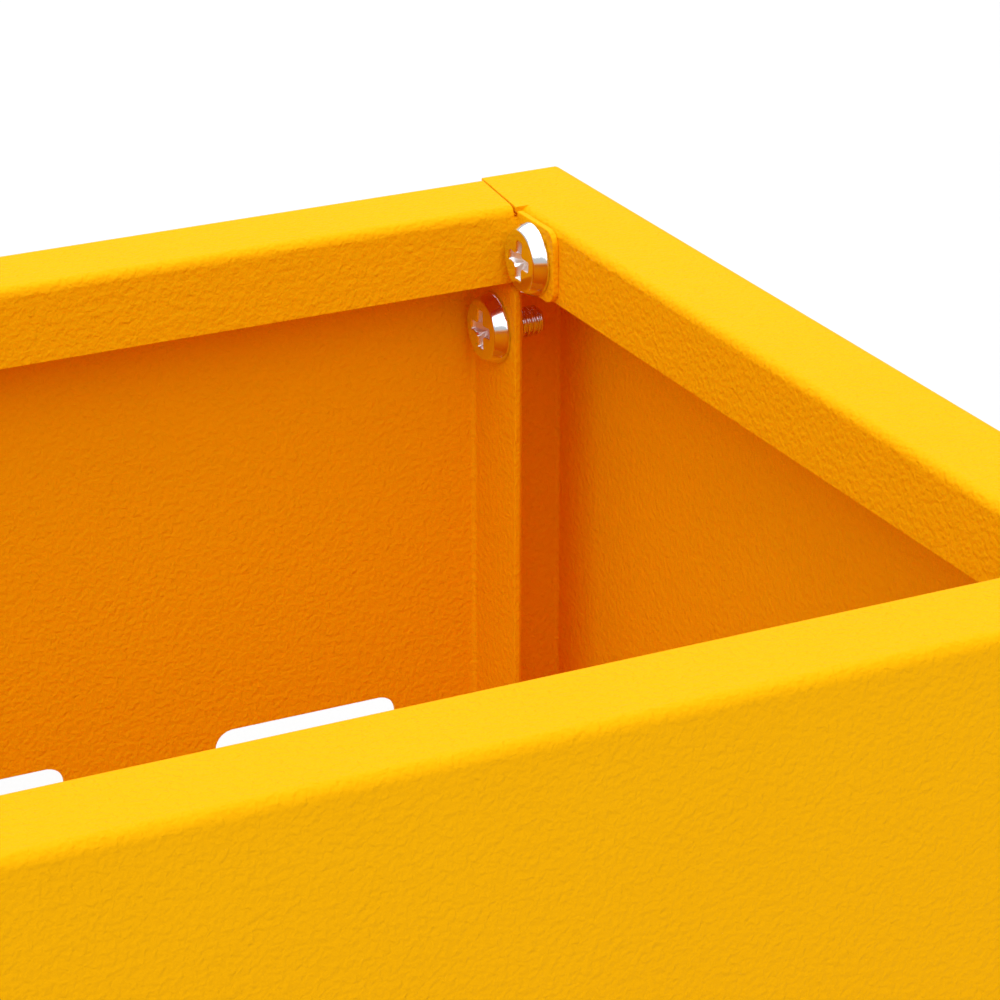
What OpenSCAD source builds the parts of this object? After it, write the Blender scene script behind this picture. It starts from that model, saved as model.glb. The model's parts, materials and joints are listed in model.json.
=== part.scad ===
// Open-top mailbox folded from thin sheet steel.
// Four walls and a floor tray are screwed together through folded flanges.
// Row frame: +X along the long walls, +Y from the front wall to the rear wall, +Z up.
// The origin is the centre of the footprint, on the plane that the feet stand on.

/* [Box] */
// Length of the long walls, outside
box_w = 358; // [344:1:440]
// Depth from the front face to the rear face, outside
box_d = 147; // [110:1:220]
// Overall height, from the underside of the feet to the top of the rim
box_h = 330; // [200:5:420]

/* [Sheet] */
// Thickness of the coated sheet
sheet_t = 0.8; // [0.6:0.1:1.0]
// Inside radius of every bend
bend_in_r = 0.6; // [0.4:0.1:1.0]
// Width of the flat rim around the top, and of the flange under the floor
rim_w = 12.4; // [11.9:0.1:14]
// Height of the lip that hangs from the inner edge of the rim
rim_h = 9.9; // [9:0.1:10.4]
// Gap between neighbouring panels
seam_gap = 0.25; // [0.2:0.05:0.4]
// How far each end of the rim's corner seam leans from the seam's middle
seam_slant = 0.7; // [0.3:0.05:0.7]

/* [Corner joints] */
// Length of the ear that a long wall's lip folds out along an end wall's lip
ear_len = 10.3; // [10:0.1:12]
// Distance from the top of the box down to the column flange of a long wall
column_top_drop = 10.7; // [10.5:0.1:14]
// Depth of the column flange of a long wall, from its outer face
column_flange_d = 12.4; // [12:0.1:14]
// Depth of the end wall's hidden column flange, from the same outer face
column_backing_d = 11.2; // [10:0.1:12]
// Radius of the free corners of ears and flanges
corner_r = 2; // [1:0.5:3]

/* [Slots] */
// How many slots the rear wall has
slot_count = 7; // [3:2:7]
// End-to-end length of a slot
slot_len = 26; // [20:1:30]
// Height of a slot
slot_h = 5; // [4:0.5:7]
// Distance between the centres of neighbouring slots
slot_pitch = 47; // [36:1:47]
// Distance from the top of the box down to the centre line of the slots
slot_drop = 72.4; // [40:0.2:100]

/* [Screws] */
// Thread diameter
screw_d = 4; // [3:0.5:4]
// Length of thread under the head
screw_len = 6.5; // [5:0.5:8]
// Diameter of the low domed head
head_d = 9.4; // [8:0.2:9.6]
// Height of the head
head_h = 2.1; // [1.9:0.1:3]
// Column screw axis, from the outer face of the long wall
column_screw_inset = 6.6; // [6:0.1:7]
// Highest and lowest column screws, from the ends of the walls
column_screw_drop = 17.9; // [17:0.1:40]
// Rim screw axis, from the outer face of the long wall
rim_screw_inset = 17.3; // [17.2:0.1:18]
// Rim screw axis, from the top of the box
rim_screw_drop = 5.3; // [5.3:0.1:5.5]
// Floor screw axis, from the outer face of the wall whose flange it joins
floor_screw_inset = 7; // [6.5:0.1:7.5]
// Floor screws of a long wall, distance either side of the middle
floor_screw_x = 100; // [60:5:140]

/* [Floor] */
// Height of the floor tray's turned-up edges
tray_h = 12; // [8:1:20]
// Clearance between the tray and the walls
tray_gap = 0.3; // [0.2:0.1:0.5]
// Diameter of the drain holes
drain_d = 6; // [4:0.5:8]
// Drain holes, distance from the floor's centre along the length
drain_x = 120; // [60:5:130]
// Drain holes, distance from the floor's centre across the depth
drain_y = 35; // [20:1:38]

/* [Feet] */
// Diameter of a foot
foot_d = 10; // [8:0.5:10]
// Height of a foot
foot_h = 7; // [7:0.5:12]
// Diameter of the hole that a foot's stem pushes into
foot_hole_d = 5; // [4:0.5:6]
// Foot axis, from both outer faces at a corner
foot_inset = 6; // [5.5:0.1:6.5]

/* [Hidden] */
$fn = 48;

coat = [0.99, 0.78, 0.05];
zinc = [0.78, 0.79, 0.80];
rubber = [0.12, 0.12, 0.12];

half_w = box_w / 2;
half_d = box_d / 2;
bend_r = bend_in_r + sheet_t;
wall_base = foot_h;
wall_h = box_h - foot_h;
cut = 1;                                // how far a cutter runs past a face

joint_x = half_w - rim_w;               // plane where a long wall's flange meets an end wall's
lip_y = half_d - rim_w;                 // plane of the long walls' lips
ear_bottom = box_h - rim_h;
ear_top = box_h - sheet_t / 2;
column_top = box_h - column_top_drop;
column_base = wall_base + bend_r + sheet_t;
ear_run = bend_r + 0.5;                 // length of lip that the ear's bend grows out of
rim_notch = bend_r - 2 * seam_gap;      // relief where the rim's bend stops short of the ear
seam_mid_y = (lip_y + half_d) / 2;

head_seat_x = joint_x - sheet_t;        // inner face of ears and column flanges
clear_d = screw_d + 0.5;
thread_hole_d = screw_d + 0.04;
collar_d = screw_d + 1.6;
collar_h = 1.2;
head_edge_r = 1;
thread_chamfer = 0.5;

rim_screw_y = half_d - rim_screw_inset;
rim_screw_z = box_h - rim_screw_drop;
column_screw_y = half_d - column_screw_inset;
column_screw_zs = [
    box_h - column_screw_drop,
    wall_base + wall_h / 2,
    wall_base + column_screw_drop
];
floor_screw_y = half_d - floor_screw_inset;
end_screw_x = half_w - floor_screw_inset;
floor_seat_z = wall_base + 2 * sheet_t;

tray_x = half_w - sheet_t - tray_gap;
tray_y = half_d - sheet_t - tray_gap;
tray_notch_x = head_seat_x - tray_gap;
tray_notch_y = half_d - column_flange_d - tray_gap;

foot_x = half_w - foot_inset;
foot_y = half_d - foot_inset;
foot_stem_d = foot_hole_d - 0.1;
foot_barb_d = foot_hole_d + 1;
foot_barb_h = 1.5;
foot_edge_r = 1.2;

// ---- Sheet sections ----

// A quarter-turn bend to the left, seen in section.
module bend_section() {
    translate([0, bend_r])
        intersection() {
            difference() {
                circle(r = bend_r);
                circle(r = bend_in_r);
            }
            translate([0, -bend_r])
                square(bend_r);
        }
}

// A folded sheet in section. It starts at the origin along +X and turns left after each
// span but the last. A span is measured over the outside of the bends at its ends.
module folded_section(spans, first = 0) {
    last = len(spans) - 1;
    flat = spans[first] - (first > 0 ? bend_r : 0) - (first < last ? bend_r : 0);
    square([flat, sheet_t]);
    if (first < last)
        translate([flat, 0]) {
            bend_section();
            translate([bend_r, bend_r])
                rotate(90)
                    folded_section(spans, first + 1);
        }
}

// Stands a section upright so that its X runs along +X and its Y runs along +Z,
// and draws it out along Y from -reach to reach.
module along_y(reach) {
    translate([0, reach, 0])
        rotate([90, 0, 0])
            linear_extrude(2 * reach)
                children();
}

// The same, with the section's X along +Y, drawn out along X from -reach to reach.
module along_x(reach) {
    translate([-reach, 0, 0])
        rotate([90, 0, 90])
            linear_extrude(2 * reach)
                children();
}

// ---- Small cutters and features ----

// Removes the square corner outside a quarter circle. The corner point is the origin,
// the material lies towards -X and -Y, and the cutter is centred on the XY plane.
module corner_cutter(r, thickness) {
    difference() {
        translate([-r, -r, -thickness / 2])
            cube([r + cut, r + cut, thickness]);
        translate([-r, -r, -thickness / 2 - cut])
            cylinder(r = r, h = thickness + 2 * cut);
    }
}

// A hole through sheet, along +X from the origin.
module hole_x(d) {
    translate([-cut, 0, 0])
        rotate([0, 90, 0])
            cylinder(d = d, h = sheet_t + 2 * cut + collar_h);
}

// A drawn collar that gives a thread more grip, along +X from the origin.
module collar_x() {
    rotate([0, 90, 0])
        cylinder(d = collar_d, h = collar_h);
}

// A hole through sheet, along +Z. The origin is on the sheet's lower face.
module hole_z(d) {
    translate([0, 0, -collar_h - cut])
        cylinder(d = d, h = collar_h + 2 * sheet_t + 2 * cut);
}

// A drawn collar below a sheet whose lower face is at the origin.
module collar_z() {
    translate([0, 0, -collar_h])
        cylinder(d = collar_d, h = collar_h);
}

// Places a child at the rim screw and column screws of a corner on the +Y side.
module at_rim_screw(x) {
    translate([x, rim_screw_y, rim_screw_z])
        children();
}

module at_column_screws(x) {
    for (z = column_screw_zs)
        translate([x, column_screw_y, z])
            children();
}

// ---- Long walls ----

// One ear, from z_low to z_high, seen from above, for a wall on the +Y side. The lip that
// it folds out of runs back along the wall by lip_run.
module ear_layer(z_low, z_high, lip_run) {
    translate([0, 0, z_low])
        linear_extrude(z_high - z_low)
            translate([joint_x, lip_y - ear_len])
                rotate(90)
                    folded_section([ear_len + sheet_t, lip_run]);
}

// Both ears. Above the start of the rim's bend only their flat part goes on.
module ears() {
    for (side = [0, 1])
        mirror([side, 0, 0]) {
            ear_layer(ear_bottom, box_h - bend_r, ear_run + cut);
            translate([head_seat_x, lip_y - ear_len, box_h - bend_r])
                cube([sheet_t, ear_len + sheet_t - bend_r, ear_top - (box_h - bend_r)]);
        }
}

// The wall's upright section with both column flanges, seen from above.
module wall_with_column_flanges() {
    translate([0, 0, column_base])
        linear_extrude(column_top - column_base)
            translate([joint_x, half_d - column_flange_d])
                rotate(90)
                    folded_section([column_flange_d, 2 * joint_x, column_flange_d]);
}

// Where the rim's corner seam runs, as seen from above.
function seam_x(y) = joint_x + seam_slant * (2 * (y - lip_y) / (half_d - lip_y) - 1);

// The half of the rim's corner seam from the lip to the seam's middle: a strip of rim sheet
// from the seam line, moved by shift, to x_end.
module inner_seam_strip(shift, x_end) {
    translate([0, 0, box_h - sheet_t])
        linear_extrude(sheet_t)
            polygon([
                [seam_x(lip_y) + shift, lip_y],
                [joint_x + shift, seam_mid_y],
                [x_end, seam_mid_y],
                [x_end, lip_y]
            ]);
}

// The half from the seam's middle to y_end.
module outer_seam_strip(shift, x_end, y_end) {
    translate([0, 0, box_h - sheet_t])
        linear_extrude(sheet_t)
            polygon([
                [joint_x + shift, seam_mid_y],
                [seam_x(y_end) + shift, y_end],
                [x_end, y_end],
                [x_end, seam_mid_y]
            ]);
}

// Cuts at one end: the lip gives way to the ear, the rim's bend stops short of it, the rim
// follows the slanting seam, and the column's bend gets room.
module wall_end_reliefs() {
    translate([joint_x - ear_run, lip_y - cut, ear_bottom - cut])
        cube([ear_run + cut, bend_r + cut, rim_h - bend_r + cut]);
    translate([joint_x - rim_notch, lip_y - cut, box_h - bend_r])
        cube([rim_notch + cut, bend_r + cut, bend_r + cut]);
    inner_seam_strip(-seam_gap, joint_x + cut);
    translate([joint_x - bend_r, half_d - bend_r, column_base])
        cube([bend_r + cut, bend_r + cut, column_top - column_base]);
}

// The rim with its lip, the web and the floor flange, as far as half_length from the middle.
module wall_section(half_length) {
    translate([0, lip_y, wall_base])
        along_x(half_length)
            folded_section([rim_w, wall_h, rim_w, rim_h]);
}

// The same, cut back at the ends to clear the end walls. Only the outer half of the rim and
// the top of its bend run on to the slanting seam.
module wall_with_rim() {
    difference() {
        wall_section(joint_x - seam_gap);
        for (side = [0, 1])
            mirror([side, 0, 0])
                wall_end_reliefs();
    }
    for (side = [0, 1])
        mirror([side, 0, 0])
            intersection() {
                wall_section(joint_x + seam_slant);
                outer_seam_strip(-seam_gap, joint_x - cut, half_d);
            }
}

// A plain long wall on the +Y side, with every hole that its joints need.
module long_wall() {
    difference() {
        union() {
            wall_with_rim();
            wall_with_column_flanges();
            ears();
            for (x = [-floor_screw_x, floor_screw_x])
                translate([x, floor_screw_y, wall_base])
                    collar_z();
        }
        for (side = [0, 1])
            mirror([side, 0, 0]) {
                at_rim_screw(head_seat_x)
                    hole_x(clear_d);
                at_column_screws(head_seat_x)
                    hole_x(clear_d);
                ear_rounding();
                column_flange_rounding();
                translate([floor_screw_x, floor_screw_y, wall_base])
                    hole_z(thread_hole_d);
            }
    }
}

module ear_rounding() {
    for (end = [[ear_top, 0], [ear_bottom, 1]])
        translate([joint_x - sheet_t / 2, lip_y - ear_len, end[0]])
            mirror([0, 0, end[1]])
                rotate([90, 0, 90])
                    mirror([1, 0, 0])
                        corner_cutter(corner_r, 2 * sheet_t);
}

module column_flange_rounding() {
    for (end = [[column_top, 0], [column_base, 1]])
        translate([joint_x - sheet_t / 2, half_d - column_flange_d, end[0]])
            mirror([0, 0, end[1]])
                rotate([90, 0, 90])
                    mirror([1, 0, 0])
                        corner_cutter(corner_r, 2 * sheet_t);
}

// One slot through the wall, centred on its own middle.
module slot() {
    end_x = (slot_len - slot_h) / 2;
    rotate([90, 0, 0])
        translate([0, 0, -sheet_t - cut])
            linear_extrude(2 * (sheet_t + cut)) {
                square([2 * end_x, slot_h], center = true);
                for (x = [-end_x, end_x])
                    translate([x, 0])
                        circle(d = slot_h);
            }
}

module rear_panel() {
    color(coat)
        difference() {
            long_wall();
            for (i = [0 : slot_count - 1])
                translate([(i - (slot_count - 1) / 2) * slot_pitch, half_d, box_h - slot_drop])
                    slot();
        }
}

module front_panel() {
    color(coat)
        mirror([0, 1, 0])
            long_wall();
}

// ---- End walls ----

// The rim's lip and the floor flange between the long walls' lips.
module end_lip_section() {
    translate([joint_x, 0, wall_base])
        along_y(lip_y)
            folded_section([rim_w, wall_h, rim_w, rim_h]);
}

// The floor flange, web and rim, as far as the columns' bends.
module end_web_section() {
    translate([joint_x, 0, wall_base])
        along_y(half_d - bend_r)
            folded_section([rim_w, wall_h, rim_w]);
}

// The rim and the floor flange run on over the columns to the outer faces, with no lip.
module end_caps_section() {
    translate([joint_x, 0, wall_base])
        along_y(half_d)
            intersection() {
                folded_section([rim_w, wall_h, rim_w]);
                union()
                    for (z = [0, wall_h - sheet_t])
                        translate([0, z])
                            square([rim_w, sheet_t]);
            }
}

// The web with its rim and flange, cut back for the bend that the lip hangs from, and with
// the rim's ends cut along the slanting seams.
module end_web_with_caps() {
    difference() {
        union() {
            end_web_section();
            end_caps_section();
        }
        translate([joint_x - cut, -lip_y, box_h - bend_r])
            cube([bend_r + cut, 2 * lip_y, bend_r + cut]);
        for (side = [0, 1])
            mirror([0, side, 0])
                outer_seam_strip(0, joint_x - cut, half_d);
    }
    for (side = [0, 1])
        mirror([0, side, 0])
            inner_seam_strip(0, joint_x + cut);
}

// The hollow columns at both edges: web, return flange and backing flange.
module end_columns() {
    translate([0, 0, column_base])
        linear_extrude(column_top - column_base)
            translate([joint_x, -half_d + column_backing_d])
                rotate(-90)
                    folded_section([column_backing_d, rim_w, box_d, rim_w, column_backing_d]);
}

// Above and below the backing flanges, the return flanges alone close the outer faces.
module end_column_tabs() {
    stretches = [
        [wall_base + sheet_t + seam_gap, column_base],
        [column_top, box_h - sheet_t - seam_gap]
    ];
    for (stretch = stretches)
        translate([joint_x + seam_gap, -half_d, stretch[0]])
            linear_extrude(stretch[1] - stretch[0])
                folded_section([rim_w - seam_gap, box_d, rim_w - seam_gap]);
}

// Right end wall. Its outer face looks along +X.
module right_end_wall() {
    difference() {
        union() {
            end_lip_section();
            end_web_with_caps();
            translate([end_screw_x, 0, wall_base])
                collar_z();
            end_columns();
            end_column_tabs();
            for (side = [0, 1])
                mirror([0, side, 0]) {
                    at_rim_screw(joint_x + sheet_t)
                        collar_x();
                    at_column_screws(joint_x + sheet_t)
                        collar_x();
                }
        }
        for (side = [0, 1])
            mirror([0, side, 0]) {
                at_rim_screw(joint_x)
                    hole_x(thread_hole_d);
                at_column_screws(joint_x)
                    hole_x(thread_hole_d);
                translate([foot_x, foot_y, wall_base])
                    hole_z(foot_hole_d);
            }
        translate([end_screw_x, 0, wall_base])
            hole_z(thread_hole_d);
    }
}

module right_end_panel() {
    color(coat)
        right_end_wall();
}

module left_end_panel() {
    color(coat)
        mirror([1, 0, 0])
            right_end_wall();
}

// ---- Floor ----

// A shallow tray that rests on the walls' floor flanges, notched around the columns.
module floor_tray() {
    color(coat)
        difference() {
            union() {
                translate([-tray_x, 0, floor_seat_z - sheet_t])
                    along_y(tray_notch_y)
                        turned_up_section(2 * tray_x);
                translate([0, -tray_y, floor_seat_z - sheet_t])
                    along_x(tray_notch_x)
                        turned_up_section(2 * tray_y);
            }
            for (x = [-1, 1], y = [-1, 1]) {
                translate([x * floor_screw_x, y * floor_screw_y, floor_seat_z - sheet_t])
                    hole_z(clear_d);
                translate([x * drain_x, y * drain_y, floor_seat_z - sheet_t])
                    hole_z(drain_d);
            }
            for (x = [-1, 1])
                translate([x * end_screw_x, 0, floor_seat_z - sheet_t])
                    hole_z(clear_d);
        }
}

// A flat sheet of the given width with both edges turned up. It starts at its left edge.
module turned_up_section(width) {
    translate([0, tray_h])
        rotate(-90)
            folded_section([tray_h, width, tray_h]);
}

// ---- Fasteners ----

// A low-head screw. Its head lies towards -Z from the origin and its thread along +Z.
module screw() {
    recess_w = 0.9;
    recess_len = 5;
    recess_depth = 1.3;
    color(zinc) {
        difference() {
            rotate_extrude() {
                translate([0, -head_h])
                    square([head_d / 2 - head_edge_r, head_h]);
                translate([0, -head_h + head_edge_r])
                    square([head_d / 2, head_h - head_edge_r]);
                translate([head_d / 2 - head_edge_r, -head_h + head_edge_r])
                    circle(r = head_edge_r);
            }
            for (turn = [0, 90])
                rotate([0, 0, turn])
                    translate([-recess_len / 2, -recess_w / 2, -head_h - cut])
                        cube([recess_len, recess_w, recess_depth + cut]);
        }
        cylinder(d = screw_d, h = screw_len - thread_chamfer);
        translate([0, 0, screw_len - thread_chamfer])
            cylinder(d1 = screw_d, d2 = screw_d - 2 * thread_chamfer, h = thread_chamfer);
    }
}

// Screws whose thread points outwards, away from the box's middle, on the given sides.
module rim_screw(x, y) {
    translate([x * head_seat_x, y * rim_screw_y, rim_screw_z])
        rotate([0, x * 90, 0])
            screw();
}

module column_screw(x, y, z) {
    translate([x * head_seat_x, y * column_screw_y, z])
        rotate([0, x * 90, 0])
            screw();
}

// A screw whose thread points down.
module floor_screw(x, y) {
    translate([x, y, floor_seat_z])
        rotate([180, 0, 0])
            screw();
}

// ---- Feet ----

// A push-in rubber foot: pad below the flange, stem through it, barb above it.
module foot(x, y) {
    color(rubber)
        translate([x * foot_x, y * foot_y, 0]) {
            rotate_extrude() {
                translate([0, foot_edge_r])
                    square([foot_d / 2, foot_h - foot_edge_r]);
                square([foot_d / 2 - foot_edge_r, foot_h]);
                translate([foot_d / 2 - foot_edge_r, foot_edge_r])
                    circle(r = foot_edge_r);
            }
            cylinder(d = foot_stem_d, h = foot_h + sheet_t);
            translate([0, 0, foot_h + sheet_t])
                cylinder(d1 = foot_barb_d, d2 = foot_stem_d, h = foot_barb_h);
        }
}

// ---- Nodes ----

front_panel();
rear_panel();
left_end_panel();
right_end_panel();
floor_tray();
rim_screw(-1, -1);  // rim_screw_front_left
rim_screw(1, -1);  // rim_screw_front_right
rim_screw(-1, 1);  // rim_screw_rear_left
rim_screw(1, 1);  // rim_screw_rear_right
column_screw(-1, -1, column_screw_zs[0]);  // column_screw_top_front_left
column_screw(1, -1, column_screw_zs[0]);  // column_screw_top_front_right
column_screw(-1, 1, column_screw_zs[0]);  // column_screw_top_rear_left
column_screw(1, 1, column_screw_zs[0]);  // column_screw_top_rear_right
column_screw(-1, -1, column_screw_zs[1]);  // column_screw_middle_front_left
column_screw(1, -1, column_screw_zs[1]);  // column_screw_middle_front_right
column_screw(-1, 1, column_screw_zs[1]);  // column_screw_middle_rear_left
column_screw(1, 1, column_screw_zs[1]);  // column_screw_middle_rear_right
column_screw(-1, -1, column_screw_zs[2]);  // column_screw_bottom_front_left
column_screw(1, -1, column_screw_zs[2]);  // column_screw_bottom_front_right
column_screw(-1, 1, column_screw_zs[2]);  // column_screw_bottom_rear_left
column_screw(1, 1, column_screw_zs[2]);  // column_screw_bottom_rear_right
floor_screw(-floor_screw_x, -floor_screw_y);  // floor_screw_front_left
floor_screw(floor_screw_x, -floor_screw_y);  // floor_screw_front_right
floor_screw(-floor_screw_x, floor_screw_y);  // floor_screw_rear_left
floor_screw(floor_screw_x, floor_screw_y);  // floor_screw_rear_right
floor_screw(-end_screw_x, 0);  // floor_screw_end_left
floor_screw(end_screw_x, 0);  // floor_screw_end_right
foot(-1, -1);  // foot_front_left
foot(1, -1);  // foot_front_right
foot(-1, 1);  // foot_rear_left
foot(1, 1);  // foot_rear_right
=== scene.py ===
"""Looks for an open-top sheet-steel mailbox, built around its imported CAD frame.

The folded panels are the CAD nodes themselves, with their cut edges rounded by the coat.
Screws and feet are detailed meshes that stand where the CAD has their plain solids.
Lengths are in metres and every place is worked out from the frame.
"""
import json
import math

import bpy
from mathutils import Matrix, Vector

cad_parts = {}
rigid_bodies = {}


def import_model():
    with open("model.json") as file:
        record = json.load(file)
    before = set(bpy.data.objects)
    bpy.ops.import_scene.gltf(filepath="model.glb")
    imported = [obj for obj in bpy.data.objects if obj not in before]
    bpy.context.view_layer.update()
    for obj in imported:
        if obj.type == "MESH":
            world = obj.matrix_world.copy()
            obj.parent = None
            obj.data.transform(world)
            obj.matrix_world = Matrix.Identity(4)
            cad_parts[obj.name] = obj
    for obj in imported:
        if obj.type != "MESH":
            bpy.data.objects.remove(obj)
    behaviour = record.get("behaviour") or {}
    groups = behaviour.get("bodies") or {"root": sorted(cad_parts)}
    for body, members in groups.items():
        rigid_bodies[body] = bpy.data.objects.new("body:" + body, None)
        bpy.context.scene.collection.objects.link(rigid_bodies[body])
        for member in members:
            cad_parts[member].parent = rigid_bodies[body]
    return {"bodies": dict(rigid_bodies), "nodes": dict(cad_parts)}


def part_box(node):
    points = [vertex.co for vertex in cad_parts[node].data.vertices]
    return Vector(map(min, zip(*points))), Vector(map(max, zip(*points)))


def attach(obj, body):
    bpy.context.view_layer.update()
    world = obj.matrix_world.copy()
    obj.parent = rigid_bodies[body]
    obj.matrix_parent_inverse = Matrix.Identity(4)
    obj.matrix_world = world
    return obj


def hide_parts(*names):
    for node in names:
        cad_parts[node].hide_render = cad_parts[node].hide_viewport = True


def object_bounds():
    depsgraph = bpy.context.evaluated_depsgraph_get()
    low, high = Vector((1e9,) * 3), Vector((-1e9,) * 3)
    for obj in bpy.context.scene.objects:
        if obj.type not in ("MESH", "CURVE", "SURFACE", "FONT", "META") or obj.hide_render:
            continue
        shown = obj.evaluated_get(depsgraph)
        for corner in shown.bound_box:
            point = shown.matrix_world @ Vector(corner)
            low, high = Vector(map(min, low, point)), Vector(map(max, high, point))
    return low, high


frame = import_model()
cad_low, cad_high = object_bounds()

MM = 0.001
NODES = frame["nodes"]
BODY = next(iter(frame["bodies"]))
PANELS = [name for name in NODES if name.endswith("_panel") or name == "floor_tray"]
SCREWS = [name for name in NODES if "screw" in name]
FEET = [name for name in NODES if name.startswith("foot_")]

# ---- Screw sizes, the ones that its CAD box doesn't give ----
HEAD_HEIGHT = 2.1 * MM
HEAD_TAPER = 0.65 * MM
CROWN_DROP = 0.1 * MM
CROWN_FILLET = 0.35 * MM
SIDE_SWELL = 0.05 * MM
BASE_ROUND = 0.25 * MM
CROWN_STEPS = 40
SIDE_STEPS = 6
RINGS_PER_THREAD = 9
THREAD_PITCH = 0.7 * MM
THREAD_MAJOR_R = 1.98 * MM
THREAD_MINOR_R = 1.6 * MM
THREAD_START = 1.7 * MM
TIP_CHAMFER = 0.6 * MM
RECESS_REACH = 2.5 * MM
RECESS_HALF_WIDTH = 0.62 * MM
RECESS_DEPTH = 1.5 * MM
RECESS_END_DEPTH = 0.5 * MM
RECESS_WALL = 0.16 * MM
RECESS_CORE_R = 1.25 * MM
HEAD_SECTORS = 128
SHANK_SECTORS = HEAD_SECTORS // 2
SCREW_TWISTS = (4, 34, 88)

# ---- Panel edges ----
EDGE_ROUND = 0.12 * MM
EDGE_SEGMENTS = 2
FACET_MIN = 0.25 * MM
FACET_MAX = 0.55 * MM
STRAIGHT_MIN = 3.0 * MM
SMOOTH_ANGLE = math.radians(50)
FLAT_ANGLE = math.radians(0.5)
WELD_GAP = 0.001 * MM

# ---- Rubber feet, the sizes that their CAD box doesn't give ----
SOLE_EDGE_R = 1.2 * MM
SHOULDER_R = 0.4 * MM
DISH_DEPTH = 1.0 * MM
STEM_R = 2.42 * MM
BARB_R = 2.95 * MM
SHEET = 0.8 * MM

# ---- Studio ----
LIGHT_BOUNCES = 16
FLOOR_HALF = 6.0
SKY_STRENGTH = 0.60
BEHIND_LAMP_AT = (0.6, 1.15, 1.35)
BEHIND_LAMP_SIZE = 2.2
BEHIND_LAMP_WATTS = 17.5
# Name, azimuth, elevation and spread in degrees, strength
SUNS = [
    ("overhead", 0.0, 90.0, 60.0, 1.0),
    ("front", -90.0, 30.0, 40.0, 0.36),
    ("front_left", -120.0, 45.0, 50.0, 0.60),
    ("left", -165.0, 32.0, 45.0, 0.47),
]

# ---- Camera, placed from the rim's rear right corner ----
EYE_OFFSET = Vector((-226.1, -430.2, 157.4)) * MM
EYE_HEADING = math.radians(63.23)
EYE_PITCH = math.radians(22.80)
LENS_MM = 142.1
SENSOR_MM = 36.0


# ---------------------------------------------------------------- node helpers

def new_material(name):
    """A material with its node tree, its Principled shader and a helper that adds nodes."""
    material = bpy.data.materials.new(name)
    material.use_nodes = True
    tree = material.node_tree
    shader = tree.nodes["Principled BSDF"]
    return material, tree, shader


def add_node(tree, kind, **values):
    """A shader node with the given input sockets set by name."""
    node = tree.nodes.new(kind)
    for socket, value in values.items():
        node.inputs[socket.replace("_", " ")].default_value = value
    return node


def object_coordinates(tree):
    """Row-frame coordinates in metres: every CAD object's origin is the row's origin."""
    return tree.nodes.new("ShaderNodeTexCoord").outputs["Object"]


def noise(tree, vector, scale, detail=2.0, roughness=0.5, distortion=0.0):
    """A noise texture's factor output."""
    node = add_node(tree, "ShaderNodeTexNoise", Scale=scale, Detail=detail,
                    Roughness=roughness, Distortion=distortion)
    tree.links.new(vector, node.inputs["Vector"])
    return node.outputs["Fac"]


def map_range(tree, value, to_low, to_high, from_low=0.0, from_high=1.0):
    """The value moved from one range to another."""
    node = tree.nodes.new("ShaderNodeMapRange")
    settings = {"From Min": from_low, "From Max": from_high, "To Min": to_low, "To Max": to_high}
    for socket, number in settings.items():
        node.inputs[socket].default_value = number
    tree.links.new(value, node.inputs["Value"])
    return node.outputs["Result"]


def add(tree, first, second):
    """The sum of two values."""
    node = tree.nodes.new("ShaderNodeMath")
    tree.links.new(first, node.inputs[0])
    tree.links.new(second, node.inputs[1])
    return node.outputs["Value"]


def mix_colours(tree, factor, first, second):
    """A blend of two fixed colours."""
    node = tree.nodes.new("ShaderNodeMix")
    node.data_type = "RGBA"
    node.inputs["A"].default_value = first
    node.inputs["B"].default_value = second
    tree.links.new(factor, node.inputs["Factor"])
    return node.outputs["Result"]


def bump(tree, height, distance, normal=None):
    """A bump of the given height in metres, on top of another bump if there is one."""
    node = add_node(tree, "ShaderNodeBump", Strength=1.0, Distance=distance)
    tree.links.new(height, node.inputs["Height"])
    if normal is not None:
        tree.links.new(normal, node.inputs["Normal"])
    return node.outputs["Normal"]


# ------------------------------------------------------------------- materials

def yellow_coat():
    """Textured powder coat: fine orange peel over broad, shallow waves."""
    material, tree, shader = new_material("yellow_powder_coat")
    place = object_coordinates(tree)
    mottle = noise(tree, place, scale=90.0, detail=3.0)
    light_tone = (0.905, 0.428, 0.0014, 1.0)
    deep_tone = (0.895, 0.415, 0.0010, 1.0)
    colour = mix_colours(tree, mottle, light_tone, deep_tone)
    tree.links.new(colour, shader.inputs["Base Color"])
    sheen_patches = noise(tree, place, scale=420.0, detail=2.0)
    tree.links.new(map_range(tree, sheen_patches, 0.44, 0.56), shader.inputs["Roughness"])
    shader.inputs["Specular IOR Level"].default_value = 0.02
    peel = noise(tree, place, scale=1400.0, detail=1.5, roughness=0.45, distortion=0.35)
    waves = noise(tree, place, scale=260.0, detail=1.0)
    normal = bump(tree, waves, 0.03 * MM)
    normal = bump(tree, peel, 0.24 * MM, normal)
    tree.links.new(normal, shader.inputs["Normal"])
    return material


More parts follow.
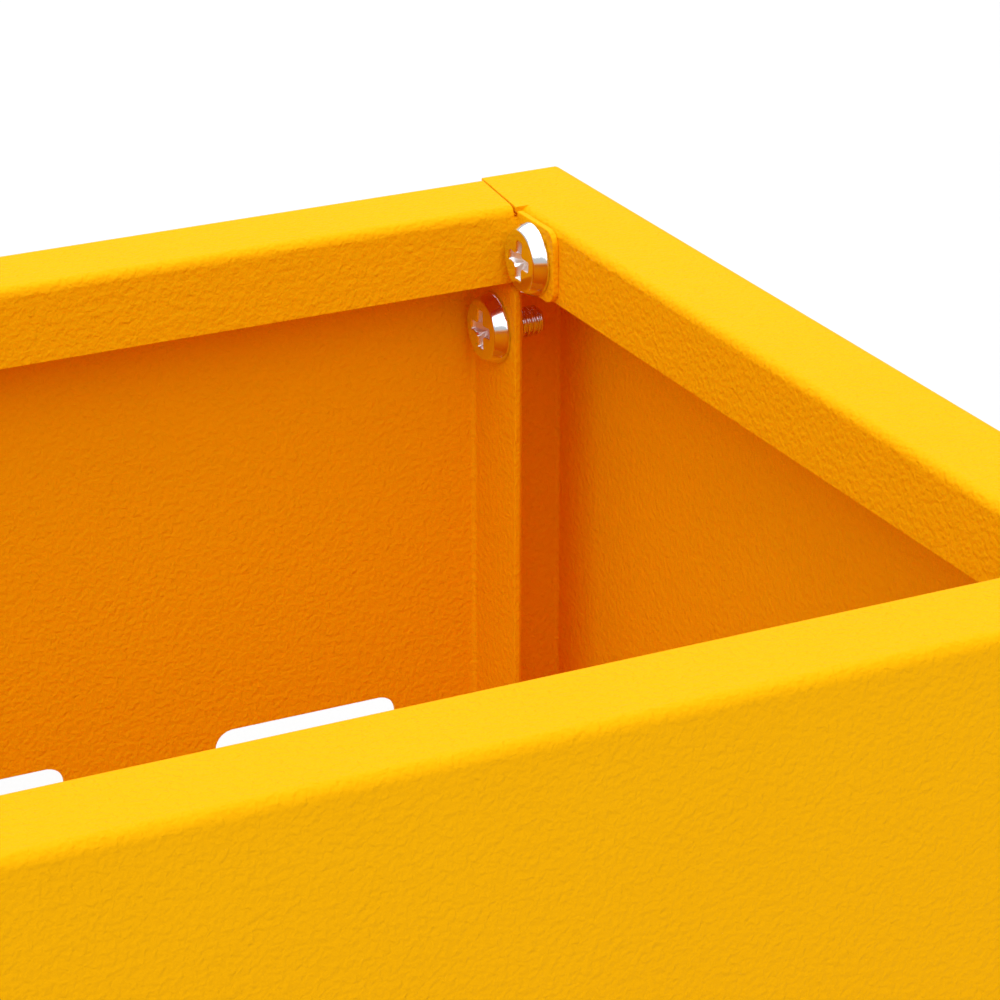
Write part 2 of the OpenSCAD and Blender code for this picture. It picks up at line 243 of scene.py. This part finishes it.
def zinc_plate():
    """Bright zinc plate with faint tool marks."""
    material, tree, shader = new_material("bright_zinc_plate")
    place = object_coordinates(tree)
    tint = noise(tree, place, scale=500.0, detail=2.0)
    colour = mix_colours(tree, tint, (0.86, 0.87, 0.89, 1.0), (0.80, 0.82, 0.85, 1.0))
    tree.links.new(colour, shader.inputs["Base Color"])
    shader.inputs["Metallic"].default_value = 1.0
    wear = map_range(tree, noise(tree, place, scale=1800.0, detail=3.0), 0.08, 0.20)
    recess = tree.nodes.new("ShaderNodeAttribute")
    recess.attribute_name = "recess"
    recess_wear = map_range(tree, recess.outputs["Fac"], 0.0, 0.35)
    tree.links.new(add(tree, wear, recess_wear), shader.inputs["Roughness"])
    marks = noise(tree, place, scale=2600.0, detail=2.0, distortion=0.6)
    tree.links.new(bump(tree, marks, 0.004 * MM), shader.inputs["Normal"])
    return material


def black_rubber():
    """Matt moulded rubber with a fine grain."""
    material, tree, shader = new_material("black_rubber")
    place = object_coordinates(tree)
    grain = noise(tree, place, scale=2200.0, detail=3.0)
    colour = mix_colours(tree, grain, (0.018, 0.018, 0.019, 1.0), (0.035, 0.035, 0.036, 1.0))
    tree.links.new(colour, shader.inputs["Base Color"])
    tree.links.new(map_range(tree, grain, 0.62, 0.78), shader.inputs["Roughness"])
    tree.links.new(bump(tree, grain, 0.02 * MM), shader.inputs["Normal"])
    return material


def studio_paper():
    """A matt pale floor."""
    material, tree, shader = new_material("studio_paper")
    shader.inputs["Base Color"].default_value = (0.61, 0.61, 0.61, 1.0)
    shader.inputs["Roughness"].default_value = 0.9
    shader.inputs["Specular IOR Level"].default_value = 0.0
    return material


# ---------------------------------------------------------------------- meshes

def clamp(value, low=0.0, high=1.0):
    """The value, kept between two limits."""
    return max(low, min(high, value))


def smoothstep(low, high, value):
    """0 below low, 1 above high and a smooth ramp between them."""
    t = clamp((value - low) / (high - low))
    return t * t * (3.0 - 2.0 * t)


def ring_mesh(name, rings, material):
    """A closed mesh through rings of points. A ring is one point, or it has as many points
    as its neighbour, or half or twice as many. The first and last rings are single points.
    """
    vertices = []
    starts = []
    for ring in rings:
        starts.append(len(vertices))
        vertices.extend(ring)
    faces = []
    for index in range(len(rings) - 1):
        upper, lower = len(rings[index]), len(rings[index + 1])
        a, b = starts[index], starts[index + 1]
        if upper == 1:
            faces += [(a, b + i, b + (i + 1) % lower) for i in range(lower)]
        elif lower == 1:
            faces += [(a + i, b, a + (i + 1) % upper) for i in range(upper)]
        elif upper == lower:
            faces += [(a + i, b + i, b + (i + 1) % lower, a + (i + 1) % upper)
                      for i in range(upper)]
        else:
            for i in range(lower):
                left, middle = a + 2 * i, a + 2 * i + 1
                right, next_low = a + (2 * i + 2) % upper, b + (i + 1) % lower
                faces += [(left, b + i, middle), (middle, b + i, next_low),
                          (middle, next_low, right)]
    mesh = bpy.data.meshes.new(name)
    mesh.from_pydata(vertices, [], faces)
    mesh.validate()
    mesh.shade_smooth()
    mesh.materials.append(material)
    return mesh


def circle(radius, height, sectors):
    """A ring of points around +Z."""
    angles = [2.0 * math.pi * i / sectors for i in range(sectors)]
    return [(radius * math.cos(a), radius * math.sin(a), height) for a in angles]


def arc(centre_r, centre_z, radius, start, end, steps):
    """Profile points (r, z) along an arc, in degrees, both ends included."""
    angles = [math.radians(start + (end - start) * i / steps) for i in range(steps + 1)]
    return [(centre_r + radius * math.cos(a), centre_z + radius * math.sin(a)) for a in angles]


def recess_depth(x, y):
    """How far the cross recess sinks below the head's crown at a point."""
    depth = 0.0
    for along, across in ((abs(x), abs(y)), (abs(y), abs(x))):
        side = 1.0 - smoothstep(-RECESS_WALL, RECESS_WALL, across - RECESS_HALF_WIDTH)
        end = 1.0 - smoothstep(-RECESS_WALL, RECESS_WALL, along - RECESS_REACH)
        slope = clamp(1.0 - along / RECESS_REACH)
        floor = RECESS_END_DEPTH + (RECESS_DEPTH - RECESS_END_DEPTH) * slope
        depth = max(depth, floor * side * end)
    core = clamp(1.0 - math.hypot(x, y) / RECESS_CORE_R)
    return max(depth, RECESS_DEPTH * math.sqrt(core))


def head_profile(head_r):
    """The head's outline (r, z) from just off the axis to the start of the shank."""
    crown_r = head_r - HEAD_TAPER - CROWN_FILLET
    points = []
    for i in range(1, CROWN_STEPS + 1):
        r = crown_r * i / CROWN_STEPS
        points.append((r, -HEAD_HEIGHT + CROWN_DROP * (r / crown_r) ** 2))
    fillet_z = -HEAD_HEIGHT + CROWN_DROP + CROWN_FILLET
    points += arc(crown_r, fillet_z, CROWN_FILLET, -75, -20, 6)
    side_r, side_z = points[-1]
    for i in range(1, SIDE_STEPS):
        t = i / SIDE_STEPS
        swell = SIDE_SWELL * 4.0 * t * (1.0 - t)
        r = side_r + (head_r - side_r) * t + swell
        points.append((r, side_z * (1.0 - t) - BASE_ROUND * t))
    points += arc(head_r - BASE_ROUND, -BASE_ROUND, BASE_ROUND, 0, 90, 5)
    return points


def thread_radius(angle, height, length):
    """The shank's radius at an angle and a distance below the head."""
    phase = (height / THREAD_PITCH - angle / (2.0 * math.pi)) % 1.0
    ridge = smoothstep(0.1, 0.9, 1.0 - abs(2.0 * phase - 1.0))
    cut_in = smoothstep(THREAD_START - THREAD_PITCH, THREAD_START, height)
    radius = THREAD_MAJOR_R - (THREAD_MAJOR_R - THREAD_MINOR_R) * (1.0 - ridge) * cut_in
    return min(radius, THREAD_MAJOR_R - TIP_CHAMFER + (length - height))


def shank_rings(length):
    """Rings of the threaded shank from under the head to the tip."""
    steps = round(length / THREAD_PITCH * RINGS_PER_THREAD)
    rings = []
    for i in range(steps + 1):
        height = length * i / steps
        ring = []
        for j in range(SHANK_SECTORS):
            angle = 2.0 * math.pi * j / SHANK_SECTORS
            radius = thread_radius(angle, height, length)
            ring.append((radius * math.cos(angle), radius * math.sin(angle), height))
        rings.append(ring)
    return rings


def screw_mesh(name, head_r, length, twist, material):
    """A low-head screw with a cross recess, turned about its axis by the angle that it was
    left at. Thread along +Z, seat at the origin.
    """
    crown_depth = recess_depth(0.0, 0.0)
    rings = [[(0.0, 0.0, -HEAD_HEIGHT + crown_depth)]]
    for r, z in head_profile(head_r):
        ring = [(x, y, z + (recess_depth(x, y) if z < -HEAD_HEIGHT / 2 else 0.0))
                for x, y, _ in circle(r, z, HEAD_SECTORS)]
        rings.append(ring)
    rings.append(circle(THREAD_MAJOR_R * 1.1, 0.0, HEAD_SECTORS))
    rings += shank_rings(length)
    rings.append([(0.0, 0.0, length)])
    mesh = ring_mesh(name, [ring[::-1] for ring in rings], material)
    sunk = mesh.attributes.new("recess", "FLOAT", "POINT")
    for vertex in mesh.vertices:
        above = vertex.co.z < -HEAD_HEIGHT / 4
        deep = recess_depth(vertex.co.x, vertex.co.y) / RECESS_END_DEPTH
        sunk.data[vertex.index].value = clamp(deep) if above else 0.0
    mesh.transform(Matrix.Rotation(twist, 4, "Z"))
    return mesh


def foot_mesh(radius, height, top, material):
    """A push-in rubber foot, hollow underneath. Its sole is at the origin."""
    dish_r = radius * 0.5
    barb_low = height + SHEET + 0.1 * MM
    profile = [(dish_r * 0.5, DISH_DEPTH), (dish_r * 0.9, DISH_DEPTH)]
    profile += [(dish_r, DISH_DEPTH * 0.7), (dish_r * 1.1, 0.1 * MM), (dish_r * 1.2, 0.0)]
    profile += arc(radius - SOLE_EDGE_R, SOLE_EDGE_R, SOLE_EDGE_R, -90, 0, 8)
    profile += arc(radius - SHOULDER_R, height - SHOULDER_R, SHOULDER_R, 0, 90, 4)
    profile += [(STEM_R, height), (STEM_R, height + SHEET)]
    profile += [(BARB_R, barb_low), (BARB_R, barb_low + 0.2 * MM)]
    profile += [(STEM_R, top - 0.15 * MM), (STEM_R - 0.3 * MM, top)]
    rings = [[(0.0, 0.0, DISH_DEPTH)]]
    rings += [circle(r, z, SHANK_SECTORS) for r, z in profile]
    rings.append([(0.0, 0.0, top)])
    return ring_mesh("rubber_foot", [ring[::-1] for ring in rings], material)


# ---------------------------------------------------------------------- pieces

def smooth_by_angle_group():
    """A node group that shades smooth everything but edges sharper than SMOOTH_ANGLE."""
    group = bpy.data.node_groups.new("smooth_by_angle", "GeometryNodeTree")
    group.interface.new_socket("Geometry", in_out="INPUT", socket_type="NodeSocketGeometry")
    group.interface.new_socket("Geometry", in_out="OUTPUT", socket_type="NodeSocketGeometry")
    source = group.nodes.new("NodeGroupInput")
    result = group.nodes.new("NodeGroupOutput")
    faces = group.nodes.new("GeometryNodeSetShadeSmooth")
    edges = group.nodes.new("GeometryNodeSetShadeSmooth")
    edges.domain = "EDGE"
    angle = group.nodes.new("GeometryNodeInputMeshEdgeAngle")
    compare = group.nodes.new("FunctionNodeCompare")
    compare.operation = "LESS_EQUAL"
    compare.inputs["B"].default_value = SMOOTH_ANGLE
    group.links.new(angle.outputs["Unsigned Angle"], compare.inputs["A"])
    group.links.new(compare.outputs["Result"], edges.inputs["Shade Smooth"])
    group.links.new(source.outputs[0], faces.inputs["Geometry"])
    group.links.new(faces.outputs["Geometry"], edges.inputs["Geometry"])
    group.links.new(edges.outputs["Geometry"], result.inputs[0])
    return group


def compare(group, operation, value, limit):
    """True where the value compares with the limit as asked."""
    node = group.nodes.new("FunctionNodeCompare")
    node.operation = operation
    node.inputs["B"].default_value = limit
    group.links.new(value, node.inputs["A"])
    return node.outputs["Result"]


def both(group, operation, first, second):
    """Two true-or-false values joined by AND or OR."""
    node = group.nodes.new("FunctionNodeBooleanMath")
    node.operation = operation
    group.links.new(first, node.inputs[0])
    group.links.new(second, node.inputs[1])
    return node.outputs["Boolean"]


def cut_edges_group():
    """A node group that marks the sheet's cut edges for the bevel: long straight ones, and the
    short facets round slots and corners. The tiny facets across a bend's end stay sharp.
    """
    group = bpy.data.node_groups.new("cut_edges", "GeometryNodeTree")
    group.interface.new_socket("Geometry", in_out="INPUT", socket_type="NodeSocketGeometry")
    group.interface.new_socket("Geometry", in_out="OUTPUT", socket_type="NodeSocketGeometry")
    source = group.nodes.new("NodeGroupInput")
    result = group.nodes.new("NodeGroupOutput")
    ends = group.nodes.new("GeometryNodeInputMeshEdgeVertices")
    distance = group.nodes.new("ShaderNodeVectorMath")
    distance.operation = "DISTANCE"
    group.links.new(ends.outputs["Position 1"], distance.inputs[0])
    group.links.new(ends.outputs["Position 2"], distance.inputs[1])
    length = distance.outputs["Value"]
    angle = group.nodes.new("GeometryNodeInputMeshEdgeAngle").outputs["Unsigned Angle"]
    facet = both(group, "AND", compare(group, "GREATER_THAN", length, FACET_MIN),
                 compare(group, "LESS_THAN", length, FACET_MAX))
    chosen = both(group, "OR", facet, compare(group, "GREATER_THAN", length, STRAIGHT_MIN))
    sharp = compare(group, "GREATER_THAN", angle, SMOOTH_ANGLE)
    store = group.nodes.new("GeometryNodeStoreNamedAttribute")
    store.domain = "EDGE"
    store.inputs["Name"].default_value = "bevel_weight_edge"
    group.links.new(both(group, "AND", sharp, chosen), store.inputs["Value"])
    group.links.new(source.outputs[0], store.inputs["Geometry"])
    group.links.new(store.outputs["Geometry"], result.inputs[0])
    return group


def finish_panel(name, material, cut_edge_group, smooth_group):
    """Gives a CAD panel its coat, and rounds its cut edges as the coat does."""
    panel = NODES[name]
    for material_slot in panel.material_slots:
        material_slot.material = material
    weld = panel.modifiers.new("weld", "WELD")
    weld.merge_threshold = WELD_GAP
    flat = panel.modifiers.new("whole_faces", "DECIMATE")
    flat.decimate_type = "DISSOLVE"
    flat.angle_limit = FLAT_ANGLE
    cut_edges = panel.modifiers.new("cut_edges", "NODES")
    cut_edges.node_group = cut_edge_group
    bevel = panel.modifiers.new("coated_edges", "BEVEL")
    bevel.width = EDGE_ROUND
    bevel.segments = EDGE_SEGMENTS
    bevel.limit_method = "WEIGHT"
    bevel.use_clamp_overlap = False
    smooth = panel.modifiers.new("smooth", "NODES")
    smooth.node_group = smooth_group
    normals = panel.modifiers.new("normals", "WEIGHTED_NORMAL")
    normals.keep_sharp = True


def thread_direction(name):
    """The way a CAD screw's thread points, from its name and place."""
    if name.startswith("floor_screw"):
        return Vector((0.0, 0.0, -1.0))
    low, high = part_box(name)
    return Vector((math.copysign(1.0, low.x + high.x), 0.0, 0.0))


def place_screw(name, mesh):
    """Stands a detailed screw where a CAD screw is."""
    low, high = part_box(name)
    direction = thread_direction(name)
    middle = (low + high) / 2
    half_length = abs((high - low).dot(direction)) / 2
    seat = middle + direction * (HEAD_HEIGHT - half_length)
    screw = bpy.data.objects.new(name + "_detailed", mesh)
    turn = direction.to_track_quat("Z", "Y").to_matrix().to_4x4()
    screw.matrix_world = Matrix.Translation(seat) @ turn
    bpy.context.scene.collection.objects.link(screw)
    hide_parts(name)
    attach(screw, BODY)


def place_screws(material):
    """The screws share a few meshes, each turned to the angle that it was tightened to."""
    low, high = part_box(SCREWS[0])
    head_r = (high.y - low.y) / 2
    length = (high.x - low.x) - HEAD_HEIGHT
    meshes = [screw_mesh(f"low_head_screw_{twist}", head_r, length, math.radians(twist), material)
              for twist in SCREW_TWISTS]
    for index, name in enumerate(sorted(SCREWS)):
        place_screw(name, meshes[index % len(meshes)])


def place_feet(material):
    """All the feet share one mesh."""
    low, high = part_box(FEET[0])
    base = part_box("left_end_panel")[0].z
    radius = (high.x - low.x) / 2
    mesh = foot_mesh(radius, base - low.z, high.z - low.z, material)
    for name in FEET:
        low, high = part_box(name)
        foot = bpy.data.objects.new(name + "_detailed", mesh)
        foot.location = ((low.x + high.x) / 2, (low.y + high.y) / 2, low.z)
        bpy.context.scene.collection.objects.link(foot)
        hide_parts(name)
        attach(foot, BODY)


# ---------------------------------------------------------------------- studio

def floor():
    """A wide pale floor under the feet."""
    mesh = bpy.data.meshes.new("studio_floor")
    corners = [(FLOOR_HALF * x, FLOOR_HALF * y, 0.0)
               for x, y in ((-1, -1), (1, -1), (1, 1), (-1, 1))]
    mesh.from_pydata(corners, [], [(0, 1, 2, 3)])
    mesh.materials.append(studio_paper())
    plane = bpy.data.objects.new("studio_floor", mesh)
    plane.location.z = cad_low.z
    bpy.context.scene.collection.objects.link(plane)


def soft_sun(name, azimuth, elevation, spread, strength):
    """Even light from a wide patch of the sky. Azimuth runs from +X towards +Y."""
    lamp = bpy.data.lights.new(name, "SUN")
    lamp.angle = math.radians(spread)
    lamp.energy = strength
    light = bpy.data.objects.new(name, lamp)
    flat = math.cos(math.radians(elevation))
    towards = Vector((math.cos(math.radians(azimuth)) * flat,
                      math.sin(math.radians(azimuth)) * flat,
                      math.sin(math.radians(elevation))))
    light.rotation_mode = "QUATERNION"
    light.rotation_quaternion = towards.to_track_quat("Z", "Y")
    bpy.context.scene.collection.objects.link(light)


def soft_box(name, location, size, watts):
    """A square lamp that faces down and that the camera doesn't see."""
    lamp = bpy.data.lights.new(name, "AREA")
    lamp.shape = "SQUARE"
    lamp.size = size
    lamp.energy = watts
    light = bpy.data.objects.new(name, lamp)
    light.location = location
    light.visible_camera = False
    bpy.context.scene.collection.objects.link(light)


def sky(strength):
    """Even white light from all round."""
    world = bpy.data.worlds.new("studio")
    world.use_nodes = True
    background = world.node_tree.nodes["Background"]
    background.inputs["Color"].default_value = (1.0, 1.0, 1.0, 1.0)
    background.inputs["Strength"].default_value = strength
    bpy.context.scene.world = world


def camera():
    """A long lens over the front rim, looking down into the rear right corner."""
    forward = Vector((math.cos(EYE_HEADING) * math.cos(EYE_PITCH),
                      math.sin(EYE_HEADING) * math.cos(EYE_PITCH),
                      -math.sin(EYE_PITCH)))
    data = bpy.data.cameras.new("camera")
    data.sensor_width = SENSOR_MM
    data.lens = LENS_MM
    data.clip_start = 0.01
    data.clip_end = 100.0
    eye = bpy.data.objects.new("camera", data)
    eye.location = cad_high + EYE_OFFSET
    eye.rotation_mode = "QUATERNION"
    eye.rotation_quaternion = forward.to_track_quat("-Z", "Y")
    bpy.context.scene.collection.objects.link(eye)
    bpy.context.scene.camera = eye


def studio():
    """Floor, lights, sky and camera."""
    floor()
    sky(SKY_STRENGTH)
    soft_box("behind", BEHIND_LAMP_AT, BEHIND_LAMP_SIZE, BEHIND_LAMP_WATTS)
    for name, azimuth, elevation, spread, strength in SUNS:
        soft_sun(name, azimuth, elevation, spread, strength)
    camera()
    scene = bpy.context.scene
    scene.view_settings.view_transform = "Standard"
    scene.cycles.max_bounces = LIGHT_BOUNCES
    scene.cycles.diffuse_bounces = LIGHT_BOUNCES


coat = yellow_coat()
zinc = zinc_plate()
rubber = black_rubber()
cut_edge_group = cut_edges_group()
smooth_group = smooth_by_angle_group()
for panel_name in PANELS:
    finish_panel(panel_name, coat, cut_edge_group, smooth_group)
place_screws(zinc)
place_feet(rubber)
studio()
